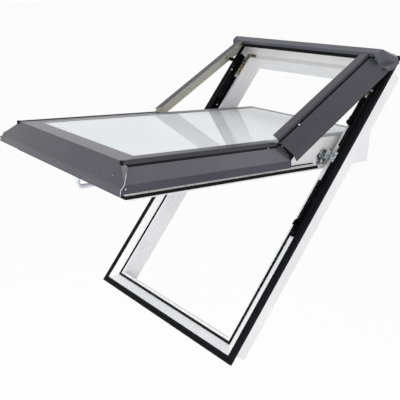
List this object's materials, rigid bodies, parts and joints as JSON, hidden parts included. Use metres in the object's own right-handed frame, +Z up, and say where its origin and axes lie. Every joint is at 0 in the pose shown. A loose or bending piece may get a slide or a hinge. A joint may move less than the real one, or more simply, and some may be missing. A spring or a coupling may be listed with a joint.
{
  "type": "roof window",
  "caption": "High-pivot roof window with an open triple-glazed sash, folded metal covers and a cover that lifts over the head.",
  "frame": {"origin": "middle of the sill's room-side face, where the frame sits on the roof lining", "axes": "+X to the right seen from outside, -Y outwards from the roof, +Z up; the frame leans at the roof pitch"},
  "size_m": [0.796, 1.1761, 0.9672],
  "materials": {
    "white_pvc": "satin extruded profile",
    "grey_aluminium": "matt coated sheet",
    "black_rubber": "matt",
    "black_steel": "satin",
    "zinc_steel": "zinc plated",
    "trim_grey": "matt",
    "spacer_grey": "matt",
    "glass": "clear"
  },
  "bodies": {
    "frame": {"frame_head": "white_pvc", "frame_left_jamb": "white_pvc", "frame_right_jamb": "white_pvc", "frame_sill": "white_pvc", "inner_seal": "black_rubber", "left_catch": "black_steel", "left_head_bracket": "zinc_steel", "left_hinge_post": "black_steel", "left_rail": "black_steel", "left_strut": "black_steel", "left_strut_eye": "black_steel", "right_catch": "black_steel", "right_head_bracket": "zinc_steel", "right_hinge_post": "black_steel", "right_rail": "black_steel", "right_strut": "black_steel", "right_strut_eye": "black_steel", "rim_head": "black_rubber", "rim_left": "black_rubber", "rim_right": "black_rubber", "rim_sill": "black_rubber"},
    "shoes": {"left_hinge_shoe": "zinc_steel", "right_hinge_shoe": "zinc_steel"},
    "sash": {"bottom_cover": "grey_aluminium", "glazing_trim": "trim_grey", "handle_base": "white_pvc", "inner_pane": "glass", "inner_spacer": "spacer_grey", "left_pivot_plate": "zinc_steel", "left_side_cover": "grey_aluminium", "middle_pane": "glass", "outer_pane": "glass", "outer_spacer": "spacer_grey", "right_pivot_plate": "zinc_steel", "right_side_cover": "grey_aluminium", "sash_bottom_rail": "white_pvc", "sash_left_stile": "white_pvc", "sash_right_stile": "white_pvc", "sash_seal": "black_rubber", "sash_top_rail": "white_pvc"},
    "handle": {"handle_lever": "white_pvc"},
    "cover": {"hood": "grey_aluminium", "hood_seal": "black_rubber", "left_hood_cap": "grey_aluminium", "left_hood_hinge": "zinc_steel", "left_upper_cover": "grey_aluminium", "right_hood_cap": "grey_aluminium", "right_hood_hinge": "zinc_steel", "right_upper_cover": "grey_aluminium"}
  },
  "joints": [
    {"name": "shoe_slide", "type": "slide", "parent": "frame", "child": "shoes", "axis": [0, 0.6428, 0.766], "range_m": [0, 0.104]},
    {"name": "sash_pivot", "type": "hinge", "parent": "shoes", "child": "sash", "pos_m": [0, 0.36366, 0.59363], "axis": [1, 0, 0], "range_deg": [0, 54]},
    {"name": "cover_lift", "type": "hinge", "parent": "frame", "child": "cover", "pos_m": [0, 0.53972, 0.86101], "axis": [1, 0, 0], "range_deg": [0, 21.4]},
    {"name": "handle_turn", "type": "hinge", "parent": "sash", "child": "handle", "pos_m": [0, -0.38461, 0.61588], "axis": [0, 0.0698, 0.9976], "range_deg": [0, 90]}
  ],
  "couplings": [
    {"joint": "shoe_slide", "follows": "sash_pivot", "m_per_rad": 0.11035},
    {"joint": "cover_lift", "follows": "sash_pivot", "ratio": 0.39629}
  ]
}
